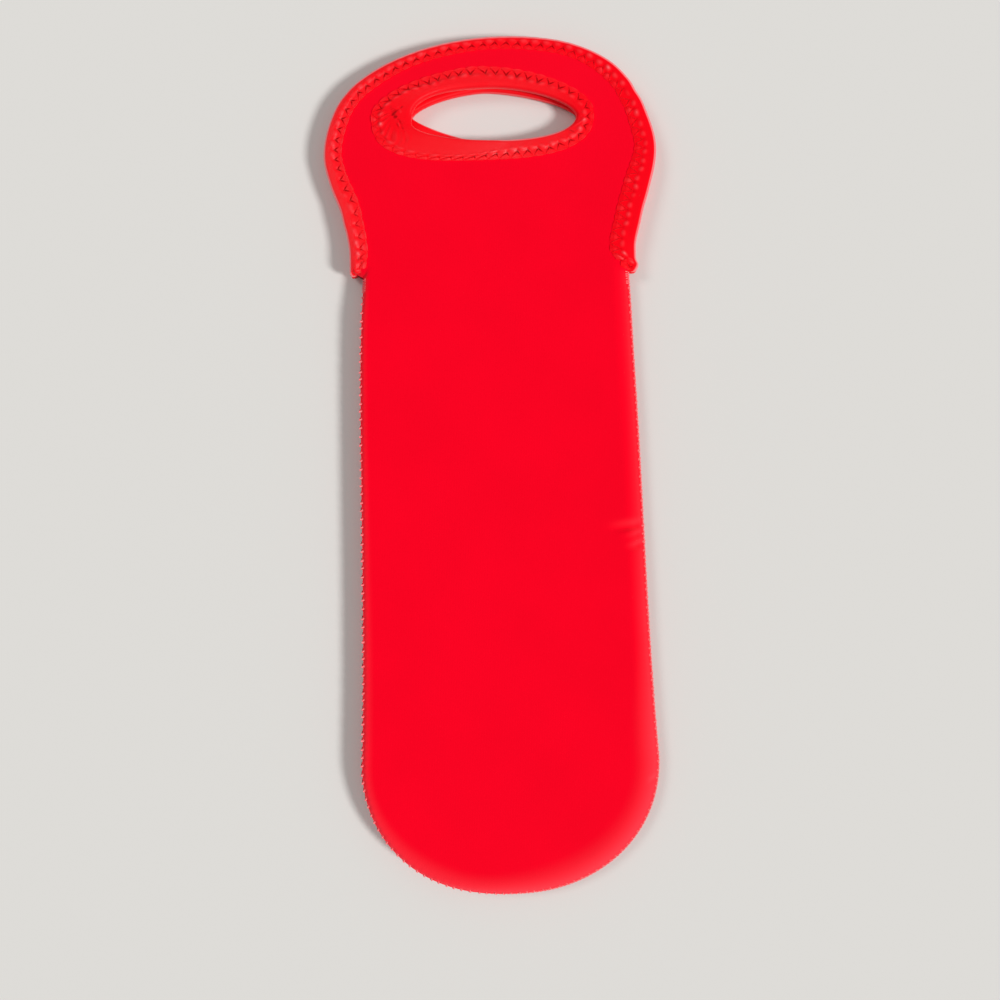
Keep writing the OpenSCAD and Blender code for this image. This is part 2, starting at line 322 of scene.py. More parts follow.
def quarterOf(c, s):
    return (0 if s >= 0 else 1) if c >= 0 else (3 if s >= 0 else 2)


def holeRim(a, front, inside=0.0):
    # clockwise from the right end; inside is how far the cut edge of the laminate stands back under the tape
    rim = hole["front" if front else "back"]
    c, s = math.cos(a), -math.sin(a)
    end = Vector(rim["right" if c >= 0 else "left"]) + Vector((math.copysign(inside, c), 0))
    middle = Vector(rim["top" if s >= 0 else "bottom"]) + Vector((0, math.copysign(inside, s)))
    exponent = 2 / rim["fullness"][quarterOf(c, s)]
    return Vector((mix(middle.x, end.x, abs(c) ** exponent), mix(end.y, middle.y, abs(s) ** exponent)))


def holeTape(a):
    c, s = math.cos(a), -math.sin(a)
    exponent = 2 / hole["tapeFullness"][quarterOf(c, s)]
    spot = Vector((hole["tapeHalfX"] * power(c, exponent), hole["tapeHalfY"] * power(s, exponent)))
    upper = 1 - smooth(hole["tiltFrom"] - hole["tiltRun"] * s)
    spot.y -= hole["tapeTilt"] * (spot.x - hole["tiltX"]) * upper
    return spot + Vector((hole["tapeX"], hole["tapeY"]))


# ---- the levels of a panel's two faces
relief = {
    "marginLeft": 0.3,  # band in which the linings meet, on the left and on the right
    "marginRight": 1.1,
    "rightFrom": -50.0,  # where the left's values start to pass into the right's, and over what distance
    "rightRun": 60.0,
    "leftTo": 10.0,  # where what shows on the left alone has faded out, and over what distance
    "leftRun": 60.0,
    "roll": 3.0,  # how far the seam is rolled up on the left, and over what distance in
    "rollRun": 9.0,
    "rollEnd": 20.0,  # and over what distance below the mouth it starts
    "crownLeft": 1.6,  # band over which a panel rises from its seam
    "crownRight": 8.5,
    "crownPower": 2.2,
    "mouthEase": 24.0,
    "pinchFade": (-7.0, 19.0),  # heights above the mouth between which the pinch of the seam fades
    "leanEase": 8.0,  # height over which the front handle starts to lean down
    "bow": 0.8,  # how far it stands up round its hole
    "bowX": 4.0,
    "bowRise": 84.0,
    "bowWide": 62.0,
    "bowHigh": 19.0,
    "wander": 0.3,  # soft unevenness of the front's foam
    "wanderSize": 55.0,
    "wanderInside": 0.6,  # shares of it and of the creases that reach the lining
    "creaseInside": 0.3,
}
creases = {
    # valleys in the front near the right edge: start, end, width and depth
    "lines": [((49.0, -33.6), (70.0, -31.4), 1.8, 2.2), ((58.0, -38.6), (70.0, -35.2), 1.3, 1.8),
              ((58.5, -43.6), (69.0, -40.6), 1.4, 1.9), ((66.0, -157.5), (71.5, -155.0), 1.3, 1.6)],
    "forming": 1.3,  # how soon each reaches its depth, and where it ends, in its own lengths
    "end": 1.6,
    "above": 0.75,  # how steep its upper and its lower side are
    "below": 1.3,
    "edgeIn": 0.5,  # it starts this far in from the seam and is whole after a run
    "edgeRun": 3.5,
    "paleSheen": 0.2,  # painted highlight: the jersey is painted paler on the lit slope above it, some of its widths off
    "paleSheenOff": 1.3,
}


def insetAt(x, y):
    # distance in from the body's edge, straight across the sides and towards the middle of the bottom
    if y < hipY:
        full = outline["bottomFullness"]
        down = (hipY - y) / outline["bottomDepth"]
        across = abs(x - outline["middle"] - outline["bottomLean"] * down) / hipHalf
        return (1 - (across ** full + down ** full) ** (1 / full)) * hipHalf
    half, middle = bodyHalf(min(y, mouthY)), bodyMiddle(min(y, mouthY))
    if y > mouthY:
        toNeck = smooth((y - mouthY) / outline["cornerRise"])
        half, middle = mix(half, outline["neckHalf"], toNeck), middle * (1 - toNeck)
    return (1 - abs(x - middle) / half) * hipHalf


def leftShare(x):
    return smooth((relief["leftTo"] - x) / relief["leftRun"])


def seamRoll(x, y, inset):
    # how far the seam is rolled up there
    if y > mouthY:
        return 0.0
    away = leftShare(x) * smooth((mouthY - y) / relief["rollEnd"])
    return relief["roll"] * away * (1 - smooth(inset / relief["rollRun"]))


def creasesAt(x, y):
    # of each crease its depth, how far it has formed beside a place, and how many of its widths off that is
    spots = []
    for start, end, width, depth in creases["lines"]:
        start = Vector(start)
        way = Vector(end) - start
        t = (Vector((x, y)) - start).dot(way) / way.length_squared
        off = (x - start.x) * -way.y / way.length + (y - start.y) * way.x / way.length
        spots.append((depth, smooth(t * creases["forming"]) if t < creases["end"] else 0.0, off / width))
    return spots


def creaseDepth(x, y, inset):
    total = 0.0
    for depth, formed, off in creasesAt(x, y):
        total += depth * formed * bell(off * creases["above" if off > 0 else "below"])
    return total * smooth((inset - creases["edgeIn"]) / creases["edgeRun"])


# painted highlight on the lit upper slope of each crease
def creaseHighlight(x, y):
    spots = creasesAt(x, y)
    return sum(creases["paleSheen"] * formed * bell(off - creases["paleSheenOff"]) for depth, formed, off in spots)


def faces(front, x, y):
    # levels of the outer and the lining face at a place, for the front or the back panel
    rise = y - mouthY
    inset = insetAt(x, y)
    toRight = smooth((x - relief["rightFrom"]) / relief["rightRun"])
    margin = mix(relief["marginLeft"], relief["marginRight"], toRight)
    run = min(1.0, max(0.0, (inset - margin) / mix(relief["crownLeft"], relief["crownRight"], toRight)))
    crown = 1 - (1 - run) ** relief["crownPower"]
    low, high = relief["pinchFade"]
    crown = mix(crown, 1.0, smooth((rise - low) / (high - low)))
    lift = mouthLift * min(1.0, max(0.0, 1 + rise / relief["mouthEase"]))
    outer = mix(pinchT, seamZ - lift, crown)
    inner = (seamZ - panelT - lift) * crown
    rolled = seamZ + seamRoll(x, y, inset)
    if not front:
        return rolled - outer, rolled - inner
    # the top face stays where it is
    outer -= (rolled - seamZ) * crown
    lean = frontDrop / (gripTop - mouthY) * (rise + math.sqrt(rise * rise + relief["leanEase"] ** 2)) / 2
    bow = relief["bow"] * bell((rise - relief["bowRise"]) / relief["bowHigh"])
    bow *= bell((x - relief["bowX"]) / relief["bowWide"])
    size = relief["wanderSize"]
    sag = relief["wander"] * (0.5 + 0.5 * noise.noise(Vector((x / size, y / size, 0.3)))) * crown
    dent = creaseDepth(x, y, inset) if rise < 0 else 0.0
    inner = min(inner, outer - pinchT * 0.9)
    return (rolled + outer - lean + bow - sag - dent,
            rolled + inner - lean + bow - sag * relief["wanderInside"] - dent * relief["creaseInside"])


# ---- the seam round the body
seam = {
    "pitch": 4.0,
    "cells": 4,  # grid cells in one stitch
    "tack": 7.2,  # length of the dense stitches at each mouth corner
    "tackPitch": 1.2,
    "tackIn": 1.5,  # how far its stitches reach in, how broad they are and how far they stand out
    "tackWide": 0.7,
    "tackOut": 0.45,
    "tackGap": 0.2,  # between their thread's ends and the seam's
    "tackPress": 0.3,  # how deep they press, and in what band
    "tackPressIn": 1.8,
    "tackPressWide": 1.2,
    "reach": 12.0,  # further in the face is left as it is
    "needleIn": 0.75,  # distance of the needle holes from the edge
    "needleWide": 0.7,
    "needleDepth": 0.35,
    "roundOver": 1.3,  # how far the thread draws the face down at the very edge, and on the left
    "roundLeft": 0.5,
    "roundRun": 2.6,
    "gather": 0.1,  # shallow waves between the stitches, which run out inwards
    "gatherRun": 2.5,
    "standOff": 0.5,  # how far the loops stand out of the edge
    "cordWide": 0.8,  # the thread that they lock round
    "cordRight": -0.15,  # its inset, so that it shows more on the right
    "cordLeft": 0.1,
    "cordLift": 0.9,  # and is raised there
    "cordFrom": -30.0,  # where its left values pass into its right ones
    "cordRun": 50.0,
    "cordBulge": 0.12,  # where the loops pull it
    "liftLeft": 1.3,  # how far the loops climb towards the front face on the left
    "threadWide": 1.0,  # a soft bulky yarn, so each loop lies as a broad bar
    "threadHigh": 0.5,
    "slant": 0.5,  # how far a loop leans along the edge
    # half of its way, from the needle hole out over the edge: share of the depth, height over the face, size
    "loop": [(1.0, -0.35, 0.55), (0.82, 0.02, 0.8), (0.5, 0.14, 0.95), (0.15, 0.2, 1.0), (-1.0, 0.75, 1.0)],
    "stray": 0.12,  # how unevenly the loops are spaced and how unevenly thick, as a share
    "strayOut": 0.2,  # and how unevenly they stand out and lean
    "strayLean": 0.3,
    "lowOut": 0.4,  # they lie closer round the bottom, by this share
    "lowRun": 20.0,
}
edgeLine = bodyEdge()
edgeLength = sum((b - a).length for a, b in zip(edgeLine, edgeLine[1:]))
stitchCount = round((edgeLength - 2 * seam["tack"]) / seam["pitch"])
tackCells = round(seam["tack"] / seam["pitch"] * seam["cells"])
edgeCells = stitchCount * seam["cells"] + 2 * tackCells
cellLength = edgeLength / edgeCells
edgeRail = evenly(edgeLine, edgeCells)
stitchPitch = cellLength * seam["cells"]
tackLength = cellLength * tackCells
print("stage: seam of", stitchCount, "stitches")


def pucker(x, s, inset):
    # how the thread draws the outer face down near the edge
    if inset > seam["reach"] or s < 0:
        return 0.0
    over = mix(seam["roundOver"], seam["roundLeft"], leftShare(x))
    down = over * max(0.0, 1 - inset / seam["roundRun"]) ** 2
    inSeam = smooth((s - tackLength) / stitchPitch + 0.5)
    inSeam *= smooth((edgeLength - tackLength - s) / stitchPitch + 0.5)
    phase = ((s - tackLength) / stitchPitch) % 1.0 - 0.5
    wide = seam["needleWide"]
    needle = bell(phase * stitchPitch / wide) * bell((inset - seam["needleIn"]) / wide)
    ripple = math.cos(2 * math.pi * phase) * math.exp(-inset / seam["gatherRun"])
    down += inSeam * (seam["needleDepth"] * needle + seam["gather"] * ripple)
    down += (1 - inSeam) * seam["tackPress"] * bell((inset - seam["tackPressIn"]) / seam["tackPressWide"])
    return down


paleSheen = {
    # painted sheen: how far the jersey's colour is painted paler near the edge, and how far in, at shares of
    # the way round the body
    "paleness": [(0, 0.2), (0.3, 0.3), (0.4, 0.4), (0.5, 0.5), (0.57, 0.55), (0.65, 0.5), (0.74, 0.25),
                 (0.85, 0.1), (1, 0.05)],
    "width": [(0, 4.0), (0.35, 6.0), (0.45, 12.0), (0.55, 18.0), (0.66, 14.0), (0.75, 9.0), (1, 6.0)],
    "reach": 18.0,
}


def paleSheenAt(s, inset):
    if s < 0 or inset > paleSheen["reach"]:
        return 0.0
    share = s / edgeLength
    return between(paleSheen["paleness"], share) * (1 - smooth(inset / between(paleSheen["width"], share)))


# ---- one flat cut of the panel, from which every layer is made
cut = {
    "rows": 29,  # from the edge to the middle of the body
    "rowPower": 2.0,  # closer together near the edge
    "handleColumns": 300,
    "handleRows": 26,
    "mouthFrom": 218,  # the degrees of a hole's rim that face the mouth, anticlockwise from its right end
    "mouthTo": 322,
}


def flatCut(front):
    rows, columns = cut["rows"], edgeCells
    shares = [(j / rows) ** cut["rowPower"] for j in range(rows + 1)]
    bm = bmesh.new()
    along = bm.verts.layers.float.new("along")
    for v, (i, j) in gridOf(bm, columns, rows).items():
        place, share = edgeRail[i][0], shares[j]
        y = place.y if place.y > hipY else mix(place.y, hipY, share)
        v.co = (mix(place.x, bodyMiddle(y), share), y, 0)
        v[along] = edgeRail[i][2]

    overCells = cut["handleColumns"]
    over = evenly([edgeRail[-1][0]] + cutEdge() + [edgeRail[0][0]], overCells)
    middle = bodyMiddle(mouthY)
    line = [Vector((mix(edgeRail[0][0].x, middle, share), mouthY)) for share in shares[1:]]
    line += [Vector((2 * middle - p.x, p.y)) for p in reversed(line[:-1])]
    outer = [place for place, outward, s in over] + line + [over[0][0]]
    columns, rows = len(outer) - 1, cut["handleRows"]
    inner = []
    for i in range(columns + 1):
        # anticlockwise, over the top first and then back along the mouth
        a = mix(cut["mouthTo"] - 360, cut["mouthFrom"], i / overCells)
        if i > overCells:
            a = mix(cut["mouthFrom"], cut["mouthTo"], (i - overCells) / (columns - overCells))
        inner.append(holeRim(-math.radians(a), front, tapeT))
    for v, (i, j) in gridOf(bm, columns, rows).items():
        place = outer[i].lerp(inner[i], j / rows)
        v.co = (place.x, place.y, 0)
        v[along] = -1.0
    bmesh.ops.remove_doubles(bm, verts=bm.verts, dist=0.01)
    bmesh.ops.recalc_face_normals(bm, faces=bm.faces)
    return bm


def levelled(front):
    # the flat cut with the two face levels of this panel kept on each point
    bm = flatCut(front)
    along = bm.verts.layers.float["along"]
    outerLevel = bm.verts.layers.float.new("outerLevel")
    innerLevel = bm.verts.layers.float.new("innerLevel")
    paintedSheen = bm.verts.layers.float.new("paintedSheen")
    up = 1 if front else -1
    for v in bm.verts:
        outer, inner = faces(front, v.co.x, v.co.y)
        inset = insetAt(v.co.x, v.co.y)
        v[outerLevel] = outer - up * pucker(v.co.x, v[along], inset)
        # painted sheen: paler near the edge, most at the lower right where the crown turns to the light, plus
        # the crease highlights
        v[paintedSheen] = paleSheenAt(v[along], inset) + (creaseHighlight(v.co.x, v.co.y) if front and inset > 0 else 0)
        v[innerLevel] = inner
    mesh = bpy.data.meshes.new("panelCut")
    bm.to_mesh(mesh)
    area = sum(f.calc_area() for f in bm.faces)
    bm.free()
    return mesh, area


def panelLayer(name, cutMesh, outerShare, innerShare, material, slot, nodes):
    # a closed sheet between two shares of the laminate's thickness, 0 at the outer face and 1 at the lining
    bm = bmesh.new()
    bm.from_mesh(cutMesh)
    outerLevel = bm.verts.layers.float["outerLevel"]
    innerLevel = bm.verts.layers.float["innerLevel"]
    base = list(bm.verts)
    made = bmesh.ops.extrude_face_region(bm, geom=bm.faces[:], use_keep_orig=True)["geom"]
    pattern = bm.loops.layers.uv.new("flat")
    for face in bm.faces:
        for loop in face.loops:
            loop[pattern].uv = loop.vert.co.xy
    for v in base:
        v.co.z = mix(v[outerLevel], v[innerLevel], outerShare)
    for v in made:
        if isinstance(v, bmesh.types.BMVert):
            v.co.z = mix(v[outerLevel], v[innerLevel], innerShare)
    piece = finished(name, bm, material, slot, 60)
    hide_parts(*nodes)
    return piece


# ---- folded tapes
tape = {
    "stitchCells": 10,  # cells across the stitched band
    "edgePlain": 7,  # and from there to the fold
    "holePlain": 14,
    "foldCells": 12,
    "pitch": 5.8,  # length of one zigzag
    "cells": 10,  # stations in one zigzag
    "holeReach": 3.1,  # how far in it reaches round the hole
    "holeLoft": 0.85,
    "needleNear": 0.35,  # the first needle holes' distance from the tape's edge
    "channel": 0.2,  # how deep the stitched band lies
    "groove": 0.14,  # how much deeper the thread presses, and in what width
    "grooveWide": 0.5,
    "prick": 0.42,  # and each needle hole
    "puff": 0.42,  # how the tape swells between its stitches and its fold
    "blob": 0.34,  # and swells more between the needle holes, at this distance and width
    "blobIn": 1.0,
    "blobWide": 1.1,
    "ruffle": 0.42,
    "ruffleWide": 1.3,
    "frill": 0.2,  # how its edge lifts between the stitches
    "scallop": 0.25,  # and spreads
    "uneven": 0.5,  # how much the sewing wanders, as a share
    "napRun": 18.0,  # degrees over which the painted rim sheen sets in round the fold, where it ends and over how many
    "napTo": 88.0,
    "napEnd": 14.0,
    "thinnest": 0.08,
    "underside": 0.03,  # how far its inner face is off the laminate
    "restLevel": 0.12,  # the bottom is pressed flat at this height over the floor
    "threadLevel": 0.21,
}
alongEdge = {
    # of the edge tape at shares of its way round: its width, the reach of its zigzag, the length of a stitch,
    # how strong the painted shade of its stitch marks is, how glossy it is where it is handled, how pale the
    # painted rim sheen of its fold is and from where, how much of its relief it keeps, and how it ruffles
    # between its stitches
    "width": [(0, 7.6), (0.012, 9.2), (0.03, 12.8), (0.12, 12.8), (0.2, 10.4), (0.3, 8.8), (0.4, 6.9),
              (0.5, 6.4), (0.6, 6.7), (0.7, 7.8), (0.8, 8.8), (0.9, 10.0), (0.97, 9.2), (1, 8.8)],
    "reach": [(0, 4.4), (0.12, 4.8), (0.22, 3.7), (0.4, 2.6), (0.6, 2.6), (0.75, 3.1), (1, 3.4)],
    "pitch": [(0, 4.5), (0.12, 4.6), (0.24, 5.8), (0.9, 5.8), (1, 5.2)],
    "shadeStrength": [(0, 0.5), (0.1, 0.5), (0.3, 0.55), (0.45, 0.9), (0.7, 1.0), (0.88, 1.0), (0.93, 0.5), (1, 0.4)],
    "shine": [(0, 0.1), (0.35, 0.1), (0.5, 0.3), (0.62, 0.5), (0.75, 1.0), (1, 1.0)],
    "nap": [(0, 1.0), (0.3, 1.3), (1, 1.3)],
    "napFrom": [(0, 20), (0.2, 18), (0.3, 10), (0.5, 6), (0.65, 10), (0.75, 20), (1, 22)],
    "loft": [(0, 0.3), (0.3, 0.35), (0.45, 0.9), (1, 1.0)],
    "ruffle": [(0, 0.6), (0.3, 0.5), (0.45, 0.1), (0.9, 0.1), (0.96, 0.6), (1, 0.6)],
}
alongHole = {
    # the same of a hole's tape, from its right end round below to the left one and back over the top
    "shadeStrength": [(0, 0.8), (0.25, 1.0), (0.33, 0.7), (0.38, 0.2), (0.5, 0.4), (0.55, 1.1), (0.9, 1.1), (1, 0.8)],
    "shine": [(0, 0.2), (0.12, 1.1), (0.25, 1.9), (0.4, 1.1), (0.5, 0.25), (0.6, 0.7), (0.75, 1.0),
              (0.9, 0.8), (1, 0.2)],
    "frontRimSheen": [(0, 0.5), (0.1, 1.3), (0.33, 1.3), (0.4, 0.0), (0.5, 0.1), (0.6, 0.2), (0.75, 0.3),
                 (0.9, 0.5), (1, 0.5)],
    "backRimSheen": [(0, 0.4), (0.3, 0.4), (0.4, 1.5), (0.48, 1.4), (0.55, 0.2), (0.7, 0.5), (0.85, 0.9),
                (1, 0.4)],
    "napFrom": [(0, 40), (0.1, 14), (0.42, 14), (0.5, 40), (0.6, 50), (0.9, 50), (1, 40)],
    "ruffle": [(0, 0.2), (0.3, 0.2), (0.35, 1.0), (0.46, 1.0), (0.53, 0.3), (0.6, 0.0), (0.95, 0.0),
               (1, 0.2)],
}


def wander(phase, seed):
    # about -1 to 1, different at every stitch
    return noise.noise(Vector((phase * 0.9 + 0.37, seed, 0.61))) * 2


def offTurn(phase):
    # how far a place is from the zigzag's nearest outer turn, as a share of its pitch
    return min(phase % 1, 1 - phase % 1)


def zigzagLine(station):
    # distances from the tape's edge of the two rows of needle holes, and of the thread at the station
    near, far = tape["needleNear"], tape["needleNear"] + station["reach"]
    return near, far, mix(near, far, (1 - wave(station["phase"], 1.0)) / 2)


def tapeRelief(e, station):
    # height over the laminate at a distance in from the tape's edge, and its painted shading there: shade in
    # grooves and needle holes, highlight where negative
    width, reach, phase = station["width"], station["reach"], station["phase"]
    pitch, shadeStrength, loft = station["pitch"], station["shadeStrength"], station["loft"]
    near, far, line = zigzagLine(station)
    toNear, toFar = offTurn(phase) * pitch, abs(phase % 1 - 0.5) * pitch
    rough = 1 + tape["uneven"] * wander(phase, station["seed"])
    # what the thread presses down
    groove = bell((e - line) / tape["grooveWide"])
    farPrick = bell(toFar / 0.9) * bell((e - far - 0.15) / 0.75)
    prick = 0.5 * bell(toNear / 0.75) * bell((e - near) / 0.65) + farPrick
    band = smooth(e / 0.6) * smooth((far + 0.7 - e) / 1.0)
    # and what stands up beside and between the stitches
    swell = smooth((e - far + 0.2) / 1.6) * smooth((width - e) / 3)
    blob = bell((e - far - tape["blobIn"]) / tape["blobWide"]) * (0.5 + 0.5 * math.cos(2 * math.pi * phase))
    free = smooth(toNear / pitch * 2.4)
    tooth, edge = bell((e - 0.9) / 0.8) * free, bell((e - 0.1) / 0.45) * free
    ruffle = station["ruffle"] * rough * bell((e - near - reach * 0.45) / tape["ruffleWide"]) * free
    height = tapeT - loft * (tape["channel"] * band + tape["groove"] * groove + tape["prick"] * prick)
    height += loft * tape["puff"] * swell + tape["blob"] * rough * blob + tape["ruffle"] * ruffle
    height += tape["frill"] * rough * max(tooth * 0.6, edge)
    height *= mix(0.25 + 0.5 * loft, 1.0, smooth(e / 1.8))
    # painted shading: shade painted into the thread's groove and the far needle holes, highlight painted on
    # the edge, teeth, blobs and ruffles that stand up
    deep = smooth((e - near) / reach * 1.1)
    paintedShading = min(1.0, 0.9 * groove * deep + 0.6 * rough * farPrick) * shadeStrength
    paintedShading -= (1.5 - 0.6 * shadeStrength) * rough * max(0.55 * edge * loft, 0.25 * tooth, 0.8 * blob, 0.6 * ruffle)
    return max(tape["thinnest"], height), paintedShading


def flapSpots(station, radius, plainCells):
    # distances from the tape's edge, closer together over the stitches
    plain = station["width"] - radius
    band = min(station["reach"] + 2.2, plain * 0.85)
    spots = [band * j / tape["stitchCells"] for j in range(tape["stitchCells"])]
    return spots + [mix(band, plain, j / plainCells) for j in range(plainCells)]


def bindTape(bm, front, stations, closedPath, extra=None):
    up = 1 if front else -1
    plainCells = tape["holePlain"] if closedPath else tape["edgePlain"]
    fold, flap = tape["foldCells"], tape["stitchCells"] + plainCells
    skin = [("outer", j) for j in range(flap)] + [("fold", j) for j in range(fold + 1)]
    skin += [("inner", flap - 1 - j) for j in range(flap)]
    skin += [("innerUnder", 0), ("innerUnder", flap // 2), ("foldUnder", fold)]
    skin += [("foldUnder", fold // 2), ("foldUnder", 0), ("outerUnder", flap // 2), ("outerUnder", 0)]
    done = {}

    def spotAt(i, j):
        station = stations[i]
        rim, way, width = station["rim"], station["way"], station["width"]
        kind, k = skin[j]
        radius = min(panelT / 2 + tapeT, width * 0.45)
        if kind.startswith("fold"):
            at = rim + way * radius
            outer, inner = faces(front, at.x, at.y)
            height, paintedShading = tapeRelief(width - radius, station)
            more = extra(at)[0] if extra else 0
            top = outer + up * (height + more)
            bottom = inner - up * height
            thin = tapeT * 0.8 if kind == "foldUnder" else 0
            middle, half = (top + bottom) / 2, (top - bottom) / 2 * station["squeeze"] - up * thin
            a = math.pi * k / fold
            spot = rim + way * (radius - (radius - thin) * math.sin(a))
            # painted highlight: a pale rim sheen is painted along the fold's outer shoulder, and round the
            # hole along both
            turned = math.degrees(a)
            turned = 90 - abs(90 - turned) if closedPath else turned
            sheenShare = station["nap"] * smooth((turned - station["napFrom"]) / tape["napRun"])
            sheenShare *= smooth((tape["napTo"] - turned) / tape["napEnd"])
            level = max(tape["restLevel"], middle + half * math.cos(a))
            return Vector((spot.x, spot.y, level)), paintedShading * 0.4 - 2 * sheenShare
        e = flapSpots(station, radius, plainCells)[k]
        height, paintedShading = tapeRelief(e, station)
        spread = tape["scallop"] * (smooth(offTurn(station["phase"]) * 2 * 1.4) - 0.5) * max(0.0, 1 - e / 2)
        spot = rim + way * (width + spread - e)
        outer, inner = faces(front, spot.x, spot.y)
        if kind.endswith("Under"):
            height, paintedShading = tape["underside"], 0.0
        middle = (outer + inner) / 2
        if kind.startswith("outer"):
            if extra and not kind.endswith("Under"):
                more, markShading = extra(spot)
                height, paintedShading = height + more, paintedShading + markShading
            level = outer + up * height
        else:
            level = inner - up * height
        level = max(tape["restLevel"], mix(middle, level, station["squeeze"]))
        return Vector((spot.x, spot.y, level)), paintedShading

    def place(i, j):
        if (i, j) not in done:
            done[i, j] = spotAt(i, j)
        return done[i, j][0]

    count = len(stations) if closedPath else len(stations) - 1
    wrapGrid(bm, count, len(skin), place, closedPath, tape["pitch"] / tape["cells"], 0.5,
             {"paintedShading": lambda i, j: done[i, j][1], "shine": lambda i, j: stations[i]["shine"]})


def stitchSpots(pathLength, pitchAt, samples=2000):
    # shares of a path at which the stations stand, with the same number to every stitch
    phases = [0.0]
    for i in range(samples):
        phases.append(phases[-1] + pathLength / samples / pitchAt((i + 0.5) / samples))
    rounds = round(phases[-1])
    spots, k = [], 0
    for i in range(rounds * tape["cells"] + 1):
        phase = phases[-1] * i / (rounds * tape["cells"])
        while k < samples - 1 and phases[k + 1] < phase:
            k += 1
        spots.append((k + (phase - phases[k]) / (phases[k + 1] - phases[k])) / samples)
    return spots


nub = {
    "samples": 3000,  # points along the way round a handle
    "rightEnd": -1.6,  # height above the mouth at which the tape ends
    "leftEnd": 0.3,
    "turn": 16.0,  # length over which its sections turn towards the slanted end
    "corner": 2.0,  # radius of its end's corner
    "bulge": 1.3,  # the right end is folded under, so it stands out
    "bulgeRise": 2.2,
    "bulgeHigh": 1.7,
    "slantRight": 13.0,  # degrees by which the end runs up towards the tape's inner edge
    "slantLeft": 22.0,
}


def readAlong(tables, t):
    return {name: between(table, t) for name, table in tables.items()}


def edgeStations(front):
    # the tape runs round the handle and ends at the mouth corners
    steps, samples, gripRise = outline["steps"], nub["samples"], outline["gripRise"]
    line = []
    for i in range(steps):
        rise = mix(nub["rightEnd"], gripRise, i / steps)
        bulge = nub["bulge"] * bell((rise - nub["bulgeRise"]) / nub["bulgeHigh"])
        line.append(Vector((neckEdge(rise, 1) + bulge, mouthY + rise)))
    line += shoulder()
    for i in range(1, steps + 1):
        rise = mix(gripRise, nub["leftEnd"], i / steps)
        line.append(Vector((neckEdge(rise, -1), mouthY + rise)))
    rail = evenly(line, samples)
    length = rail[-1][2]
    stations = []
    for i, t in enumerate(stitchSpots(length, lambda t: between(alongEdge["pitch"], t))):
        rim, outward = onRail(rail, min(t * samples, samples - 0.001))
        end = min(t, 1 - t) * length
        # near its ends the sections turn towards the slanted end, and draw in round the corner
        tilt = math.radians(nub["slantRight" if t < 0.5 else "slantLeft"])
        level = Vector((math.copysign(math.cos(tilt), 0.5 - t), -math.sin(tilt)))
        outward = level.lerp(outward, smooth((end - 1) / nub["turn"])).normalized()
        short = max(0.0, 1 - end / nub["corner"])
        drawn = nub["corner"] * (1 - math.sqrt(max(0.0, 1 - short * short)))
        station = readAlong(alongEdge, t)
        station["width"] -= drawn
        station["reach"] *= 1 + 0.1 * wander(i / 10, 3.0)
        station.update(rim=rim - outward * drawn, way=-outward, phase=i / tape["cells"],
                       seed=1.0 if front else 2.0, squeeze=mix(0.4, 1.0, smooth(end / 1.6)))
        stations.append(station)
    return stations, length


def holeStations(front):
    samples = hole["samples"]
    fine = [2 * math.pi * i / samples for i in range(samples + 1)]
    sums = lengthsTo([holeTape(a) for a in fine])
    stations, k = [], 0
    for i, t in enumerate(stitchSpots(sums[-1], lambda t: tape["pitch"])[:-1]):
        while sums[k + 1] < t * sums[-1]:
            k += 1
        a = mix(fine[k], fine[k + 1], (t * sums[-1] - sums[k]) / (sums[k + 1] - sums[k]))
        rim, outer = holeRim(a, front), holeTape(a)
        station = readAlong(alongHole, t)
        station.update(rim=rim, way=(outer - rim).normalized(), width=(outer - rim).length,
                       reach=tape["holeReach"] * (1 + 0.12 * wander(i / 10, 5.0)), pitch=tape["pitch"],
                       phase=i / tape["cells"], seed=3.0 if front else 4.0, squeeze=1.0,
                       loft=tape["holeLoft"], nap=station["frontRimSheen" if front else "backRimSheen"])
        stations.append(station)
    # the tape's own length, before it was eased round the hole, lies between those of its edge and its fold
    rimLength = sum((a["rim"] - b["rim"]).length for a, b in zip(stations, stations[1:] + stations[:1]))
    return stations, (sums[-1] + rimLength) / 2


